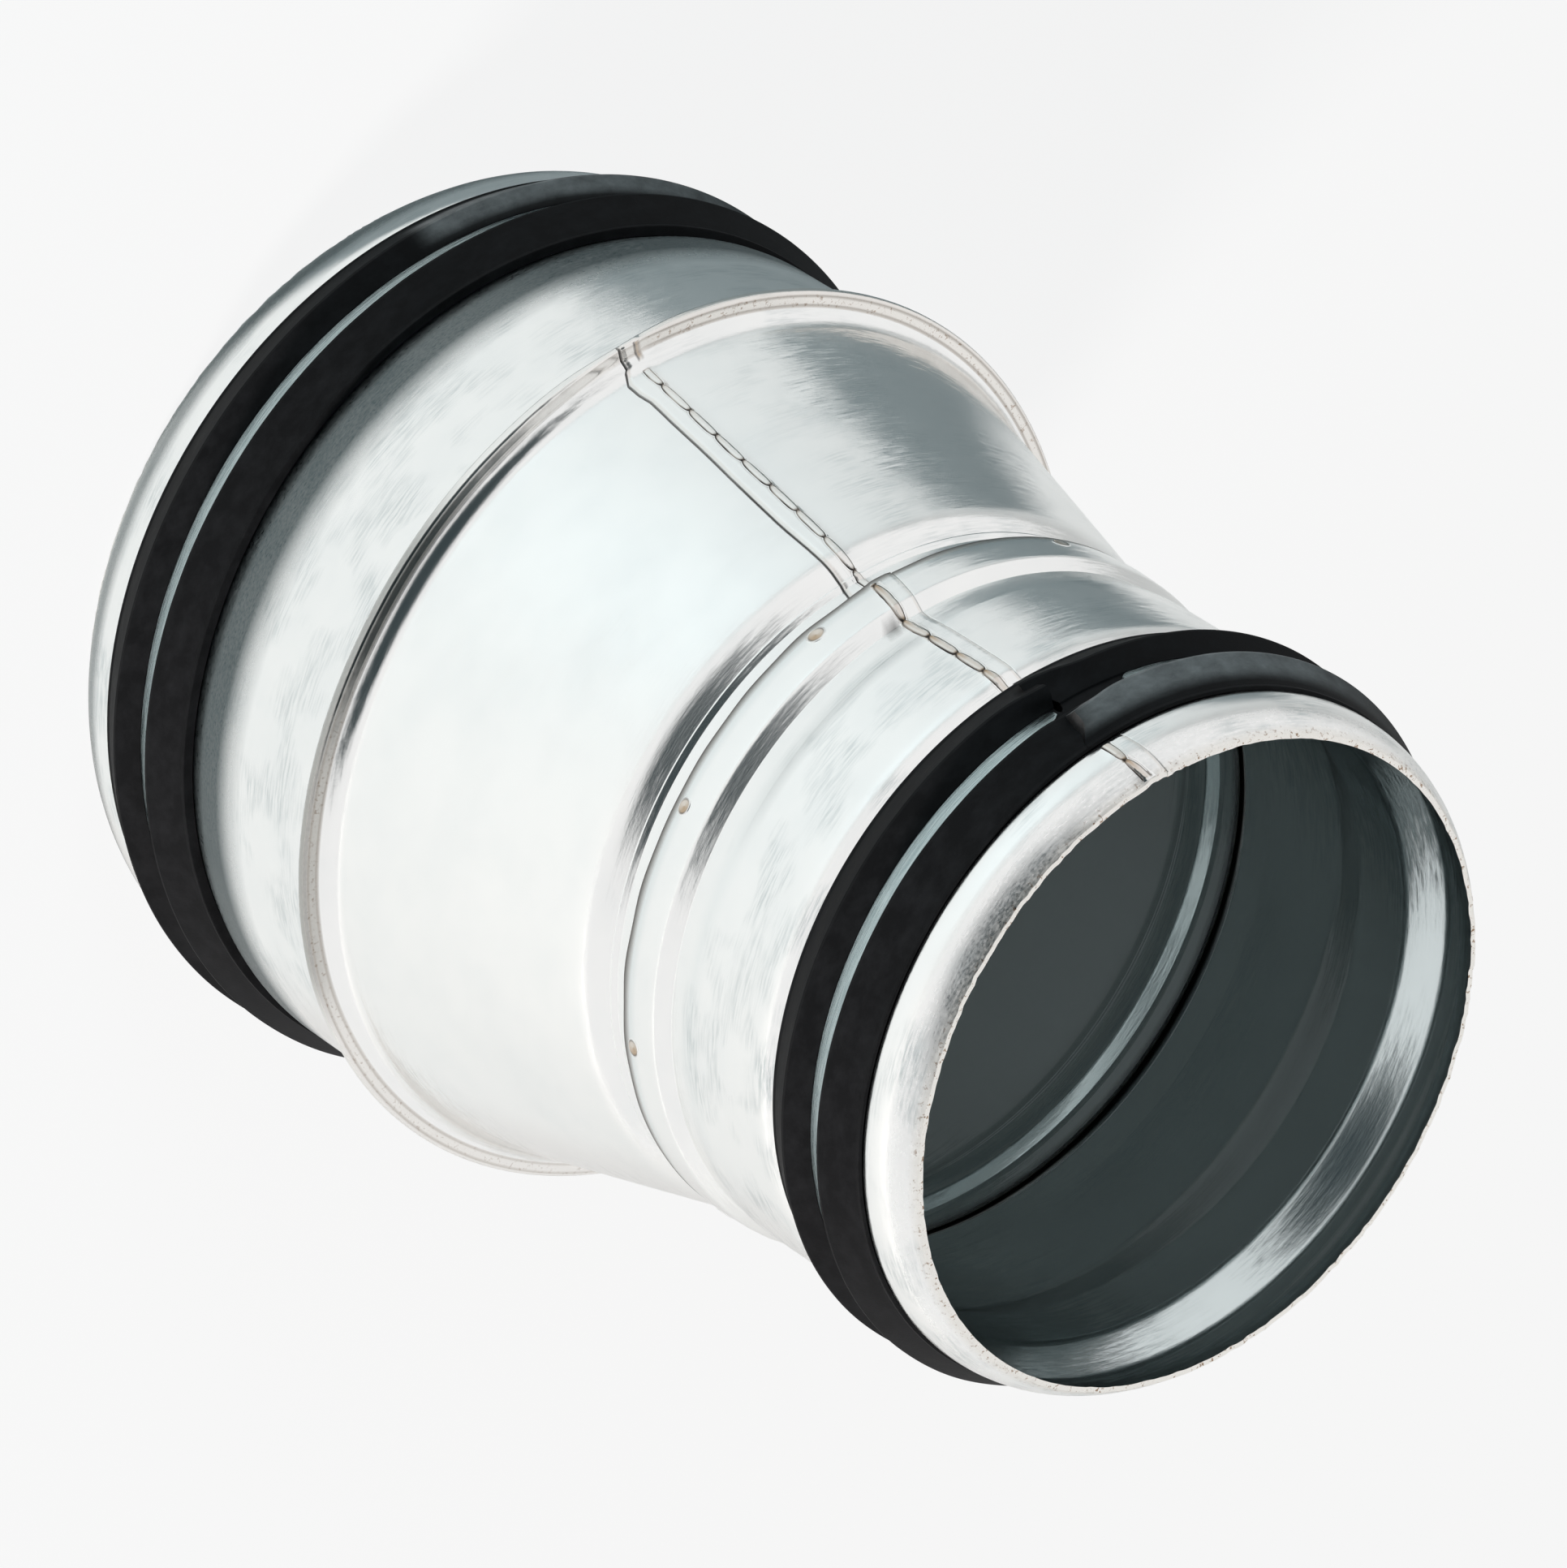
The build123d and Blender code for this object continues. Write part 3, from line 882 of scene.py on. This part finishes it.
def collar_lift(azimuth, height, lengths):
    """The lap seam on both sides of the groove, and slow dents of the wall."""
    across, radius = across_collar_lap(azimuth, height, lengths)
    from_weld = np.radians(azimuth - np.interp(height, COLLAR_WELD_HEIGHT, COLLAR_WELD)) * radius
    outside_groove = np.maximum(1 - smooth((height - 136.0) / 1.5), smooth((height - 157.9) / 0.5))
    dents = wave_sum(azimuth, height, 11, 8, 12, 0.08) * (1 - smooth((height - 136.0) / 2))
    return 0.8 * lap_profile(across, from_weld, -1) * outside_groove + dents


def collar_sway(azimuth, radius, lengths):
    """Ragged cut edges at the rim and, less so, at the socket's mouth."""
    ragged = -np.abs(wave_sum(azimuth, 0 * radius, 5, 160, 9, 0.55)) * hump(SMALL_LENGTHS[-1] - lengths, 0.5)
    return ragged + wave_sum(azimuth, 0 * radius, 6, 40, 9, 0.25) * hump(lengths, 0.5)


def collar_paint(azimuth, height, lengths, is_inner):
    """Painted shade along the lap, in the bead's two creases, inside the socket and at the mouth, and a cut
    edge at the rim.
    """
    across = across_collar_lap(azimuth, height, lengths)[0]
    rim = smooth((lengths - SMALL_LENGTHS[-1] + 0.12) / 0.12) + 0 * azimuth
    if is_inner:
        # Painted shadow inside the socket, in the gap round the cone's neck.
        crevice = 0.97 * smooth((116.0 - height) / 0.5)
        return unpainted(azimuth, lengths, 1.0) | {"cut": rim, "soot": crevice + 0 * azimuth}
    # Painted shade in the crevice beside the lap's free edge.
    soot = 0.35 * hump(across + 0.08, 0.1)
    by_weld = smooth((azimuth + 88.3) / 0.6) * smooth((-84.6 - azimuth) / 2.0)
    # Painted shade in the bead's two creases, the lower one only beside the weld.
    crease = 0.75 * hump(height - 116.9, 0.22) * by_weld
    bead = 0.22 * hump(height - 121.3, 0.16) * smooth((-40 - azimuth) / 20) * smooth((azimuth + 91) / 2)
    # The socket's cut edge at the mouth: painted shadow, with a little heat tint.
    mouth = 0.9 * smooth((0.14 - lengths) / 0.1) + 0 * azimuth
    # Two darker bands: at the row of spot welds, and below the bead's crease as painted shade.
    dull = 0.55 * hump(height - 109.6, 0.9) + 0.25 * hump(height - 120.8, 0.9) + 0 * azimuth
    return unpainted(azimuth, lengths, 0.0) | {
        "cut": rim,
        "soot": np.maximum.reduce([soot + 0 * lengths, crease + 0 * lengths, bead + 0 * lengths, mouth]),
        "tint": 0.2 * hump(across - 0.2, 0.2) + 0.3 * mouth,
        "dull": dull,
        "scuff": smooth((height - 119.5) / 1.5) + 0 * azimuth,
        "rough": smooth((height - 161.5) / 2.0) + 0 * azimuth,
    }


def collar_drift(lengths):
    """Turn of the lap's free edge from the seam's plane at a length along the collar's line."""
    height = np.interp(lengths, SMALL_LENGTHS, SMALL_LINE[:, 1])
    return np.interp(height, COLLAR_EDGE_HEIGHT, COLLAR_EDGE) - SEAM


sheet_wall(
    "small_collar_sheet", SMALL_LINE, collar_lift, collar_sway, collar_paint,
    collar_drift, COLUMNS, ["small_collar"],
)

# %% [markdown]
# ## Seam welds
# A roller electrode welded the laps in a chain of nuggets, each pinched off from the next. A narrow
# strip carries the chain along the wall, with its sides sunk into the sheet.

# %% Weld chains
NUGGET_WIDTH = 0.56
STRIP_HALF = 1.25


def chain_height(across, phase):
    """Nuggets as domes inside a superellipse: half width (1 - |phase|^3.5)^0.5, and a groove round it."""
    half = NUGGET_WIDTH * np.sqrt(np.clip(1 - np.abs(phase) ** 3.5, 0, 1)) + 0.08
    dome = 0.13 * smooth(1.25 - np.abs(across) / half)
    groove = 0.05 * hump(np.abs(across) - half - 0.08, 0.09)
    return dome - groove, half


def weld_paint(across, half, phase, azimuth, height, tan):
    """Soot round each nugget, darker on one side as painted shade, painted shade in its pinches, and heat tint
    from edge to middle.
    """
    outline = hump(np.abs(across) - half, 0.16)
    pinch = hump(1 - np.abs(phase), 0.11) * hump(across, 0.45)
    patchy = 0.85 + wave_sum(azimuth * 25, height, 22, 9, 0.6, 0.9)
    # The sign term darkens one side of each outline as painted shade; the pinches get painted shade.
    soot = outline * patchy * (1.0 + 0.15 * np.sign(across)) + 0.7 * pinch
    burnt = smooth(1.1 - np.abs(across) / half) * (0.45 + 0.55 * smooth(-phase))
    return {"soot": np.clip(soot, 0, 1), "tint": np.clip(0.6 * outline + tan * (burnt + pinch), 0, 1)}


def weld_chain(name, line, low, high, centre, lift, cuts, tan):
    """Closed strip along the line between two heights, that follows the wall and carries nuggets."""
    lengths = line_lengths(line)
    start, finish = np.interp([low, high], line[:, 1], lengths)
    stations = np.linspace(start, finish, int((finish - start) / 0.13))[:, None]
    across = np.linspace(-STRIP_HALF, STRIP_HALF, 35)[None]
    radius = np.interp(stations, lengths, line[:, 0])
    height = np.interp(stations, lengths, line[:, 1])
    normals = line_normals(line)
    out = np.stack([np.interp(stations, lengths, normals[:, axis]) for axis in (0, 1)])
    azimuth = centre(height) + np.degrees(across / radius)
    nugget = np.interp(height, cuts, np.arange(len(cuts)), left=-0.5, right=len(cuts) - 0.5)
    phase = 2 * (nugget % 1) - 1
    rough = wave_sum(azimuth * 40, height, 21, 9, 0.25, 0.05)
    rise, half = chain_height(across + rough, phase)
    rim = smooth((STRIP_HALF - np.abs(across)) / 0.25)
    ends = smooth((stations - start) / 0.5) * smooth((finish - stations) / 0.5)
    base = lift(azimuth, height, stations)
    top = base + (rise + 0.015) * rim * ends - 0.05 * (1 - rim * ends)
    shells = []
    for up in (top, base - 0.25):
        point_height = np.clip(height + out[1] * up, 0, TOTAL_LENGTH)
        shells.append(turned(radius + out[0] * up, point_height, azimuth))
    points = np.concatenate([shells[0], shells[1][:, ::-1]], axis=1)
    colours = weld_paint(across, half, phase, azimuth, height, tan)
    paint = {key: np.hstack([value * ends, (value * ends)[:, ::-1]]) for key, value in colours.items()}
    rows, columns = points.shape[:2]
    quads = grid_faces(rows, columns, False, True)
    caps = [range(columns)[::-1], range((rows - 1) * columns, rows * columns)]
    return make_piece(name, points, quads[:, ::-1], GALVANISED, None, paint, caps, 60.0)


UP_CONE = WALL_LINE[np.argmin(np.abs(WALL_LINE[:, 1] - 59.5)):]
CONE_OFFSET = float(np.interp(UP_CONE[0, 1], WALL_LINE[:, 1], WALL_LENGTHS))
weld_chain(
    "cone_weld", UP_CONE, 60.0, 108.6,
    lambda height: np.interp(height, WELD_HEIGHT, WELD),
    lambda azimuth, height, lengths: cone_lift(azimuth, height, lengths + CONE_OFFSET),
    NUGGET_CUTS, 0.35,
)
for name, low, high in (("collar_weld", 108.9, 138.6), ("rim_weld", 158.0, 165.4)):
    weld_chain(
        name, SMALL_LINE, low, high,
        lambda height: np.interp(height, COLLAR_WELD_HEIGHT, COLLAR_WELD),
        collar_lift, COLLAR_NUGGET_CUTS, 1.0,
    )

# %% [markdown]
# ## Spot welds
# Nine electrode marks join the socket to the neck: shallow round craters with a raised lip, burnt
# tan in the middle.

# %% Spot welds
SPOT_HEIGHT = 110.4
SPOTS = (-78.0, -45.7, -5.8, 34.2, 74.2, 114.2, 154.2, -165.8, -125.8)
SPOT_ROUND = 1.5
SPOT_ALONG = 1.15
SOCKET_RADIUS = 50.6


def spot_marks():
    """Discs in polar steps: lift 0.03 inside, a lip of 0.09 at 0.8 of the radius, sunk at the rim."""
    draw = np.random.default_rng(31)
    share = np.linspace(0, 1, 12)[1:, None]
    angle = np.linspace(0, 2 * np.pi, 40, endpoint=False)[None]
    rise = 0.03 + 0.06 * hump(share - 0.78, 0.14) - 0.1 * smooth((share - 0.88) / 0.12)
    tan = smooth((0.86 - share) / 0.2) * (0.75 + 0.25 * np.cos(angle - 0.6))
    dark = 0.7 * hump(share - 0.74, 0.1) * (0.6 + 0.4 * np.sin(2 * angle + 1))
    all_points, all_faces, tints, soots = [], [], [], []
    rows, columns = share.size, angle.size
    for index, spot in enumerate(SPOTS):
        size = draw.uniform(0.9, 1.08)
        height = SPOT_HEIGHT + size * SPOT_ALONG * share * np.sin(angle)
        azimuth = spot + np.degrees(size * SPOT_ROUND * share * np.cos(angle) / SOCKET_RADIUS)
        lengths = np.interp(height, SMALL_LINE[:, 1], SMALL_LENGTHS)
        wall = SOCKET_RADIUS + collar_lift(azimuth, height, lengths)
        ring = turned(wall + rise, height, azimuth).reshape(-1, 3)
        middle = turned(np.array([SOCKET_RADIUS + 0.03]), np.array([SPOT_HEIGHT]), np.array([spot]))
        offset = index * (rows * columns + 1)
        all_points += [ring, middle]
        all_faces += (grid_faces(rows, columns, False, True) + offset).tolist()
        step = np.arange(columns)
        fan = np.column_stack([step, (step + 1) % columns, np.full(columns, rows * columns)]) + offset
        all_faces += fan[:, ::-1].tolist()
        tints += [(tan + 0 * angle).ravel(), [1.0]]
        soots += [(dark + 0 * share).ravel(), [0.1]]
    paint = {"tint": np.concatenate(tints), "soot": np.concatenate(soots)}
    faces = np.empty(len(all_faces), object)
    faces[:] = all_faces
    return make_piece("spot_welds", np.vstack(all_points), faces, GALVANISED, None, paint, (), 60.0)


spot_marks()

# %% [markdown]
# ## Seals
# Each seal is one extruded strip of rubber with two lips, bent round the groove and cut where its
# ends meet. The small seal's ends show at the seam: one end's lips ride over the other's.

# %% Seal section
SEAL_MIDDLE = (SEAL[0] + SEAL[1]) / 2
LARGE_JOINT = 90.0


def groove_depth_at(distance):
    """Depth of the groove at a distance from the rim, read between its corners."""
    return float(np.interp(distance, [corner[0] for corner in GROOVE], [corner[1] for corner in GROOVE]))


def seal_corners(radius):
    """One closed loop: a lip from its foot to the channel, its mirror image, and the underside."""
    lip = [
        (radius + 0.3, SEAL[0], 0.12),
        (radius + 0.3, SEAL[0] + 0.6, 0.25),
        (radius + 2.8, SEAL_MIDDLE - 3.85, 0.12),
        (radius + 2.8, SEAL_MIDDLE - 3.45, 0.12),
        (radius + 0.3, SEAL_MIDDLE - 1.15, 0.15),
        (radius - 0.1, SEAL_MIDDLE - 1.15, 0.1),
    ]
    other = [(r, 2 * SEAL_MIDDLE - s, bend) for r, s, bend in lip[::-1]]
    stations = (SEAL[1], GROOVE[2][0], GROOVE[1][0], SEAL[0])
    under = [(radius + 0.12 - groove_depth_at(s), s, 0.0) for s in stations]
    return lip + other + under


def closed_loop(corners, longest):
    """Closed section: the line through all corners, started in the middle of its last run."""
    first, last = np.array(corners[0][:2]), np.array(corners[-1][:2])
    middle = (*((first + last) / 2), 0)
    return bent_line([middle, *corners, middle], longest)[:-1]


# %% Seal rings


def seal_ring(name, radius, joint, to_height, end_shape, node):
    """Closed section turned from one side of the joint round to the other, with flat cut ends."""
    section = closed_loop(seal_corners(radius), 0.7)
    gap = np.degrees(0.45 / radius)
    full = 360 - 2 * gap
    middle = 10 + np.linspace(0, 1, 440)[1:-1] * (full - 20)
    fine = np.concatenate([np.linspace(0, 10, 60), middle, np.linspace(full - 10, full, 60)])
    turn = joint + gap + fine[None]
    from_start, from_end = fine[None], full - fine[None]
    outward, along = section[:, :1] - radius, section[:, 1:] - SEAL_MIDDLE
    shift_azimuth, shift_out, shift_along = end_shape(outward, along, from_start, from_end)
    wavy = 0.04 * smooth(outward / 2) * wave_sum(turn, 0 * outward, len(name), 30, 9, 1.0)
    height = to_height(SEAL_MIDDLE + along + shift_along)
    points = turned(radius + outward + shift_out + wavy, height, turn + shift_azimuth)
    quads, caps = open_ring_faces(points, to_height(1.0) < to_height(0.0))
    # Painted sheen on the front lips past the seam, lighter toward their tips.
    past_seam = smooth((-88.5 - wrapped(turn)) / 5) * smooth((wrapped(turn) + 165) / 40)
    painted_sheen = past_seam * smooth(-along / 2) * smooth((outward - 0.6) / 1.2)
    return make_piece(name, points, quads, RUBBER, [node], {"painted_sheen": painted_sheen}, caps, 40.0)


def plain_ends(outward, along, from_start, from_end):
    """No shift: the ends meet square."""
    zero = 0 * outward + 0 * from_start
    return zero, zero, zero


def lapped_ends(outward, along, from_start, from_end):
    """At the start the front lip is tucked down and the rear lip curls up; at the end both ride over."""
    lip = smooth(outward / 2.2)
    front, rear = smooth(-along / 3 + 0.2), smooth(along / 3 + 0.2)
    start, finish = hump(from_start, 4.5), hump(from_end, 4.0)
    near_start, near_finish = hump(from_start, 2.0), hump(from_end, 2.5)
    azimuth = near_start * (-1.6 * front - 0.2 * rear)
    azimuth = azimuth + near_finish * ((3.9 - 1.9 * lip) * front + (3.5 * lip - 0.5) * rear)
    out = start * (-1.35 * front * lip + 0.45 * rear * lip) + finish * (0.30 * front * lip + 0.15 * rear * lip)
    shift = start * (0.9 * front * lip - 1.4 * rear * lip) + finish * (-1.3 * front * lip + 1.7 * rear * lip)
    return azimuth, out, shift


seal_ring("large_seal_rubber", LARGE_RADIUS, LARGE_JOINT, from_large_rim, plain_ends, "large_seal")
seal_ring("small_seal_rubber", SMALL_RADIUS, SEAM, from_small_rim, lapped_ends, "small_seal")

# %% [markdown]
# ## Seal bands
# A narrow steel strip lies in the channel of each seal and holds it down. The small one stops short
# of the joint, where the photograph shows only a dark recess.

# %% Band rings


def band_ring(name, radius, joint, to_height, spread, node):
    """Rounded rectangle turned round the axis. spread is what it leaves free after and before the joint."""
    corners = [
        (radius - 0.05, SEAL_MIDDLE - 1.1, 0.05),
        (radius + 0.25, SEAL_MIDDLE - 1.1, 0.1),
        (radius + 0.25, SEAL_MIDDLE + 1.1, 0.1),
        (radius - 0.05, SEAL_MIDDLE + 1.1, 0.05),
    ]
    section = closed_loop(corners, 0.8)
    turn = joint + np.linspace(spread[0], 360 - spread[1], 540)[None]
    ends = np.minimum(turn - turn[0, 0], turn[0, -1] - turn)
    narrow = np.sqrt(np.clip(ends / 1.6 + 0.12, 0, 1))
    along = (section[:, 1:] - SEAL_MIDDLE) * narrow
    points = turned(section[:, :1] + 0 * turn, to_height(SEAL_MIDDLE + along), turn)
    quads, caps = open_ring_faces(points, to_height(1.0) < to_height(0.0))
    return make_piece(name, points, quads, BAND, [node], None, caps, 40.0)


band_ring("large_band_strip", LARGE_RADIUS, LARGE_JOINT, from_large_rim, (0.5, 0.5), "large_seal_band")
band_ring("small_band_strip", SMALL_RADIUS, SEAM, from_small_rim, (1.2, 12.0), "small_seal_band")

# %% [markdown]
# ## Output
# Plain colours need the Standard view transform.

# %% View transform
bpy.context.scene.view_settings.view_transform = "Standard"
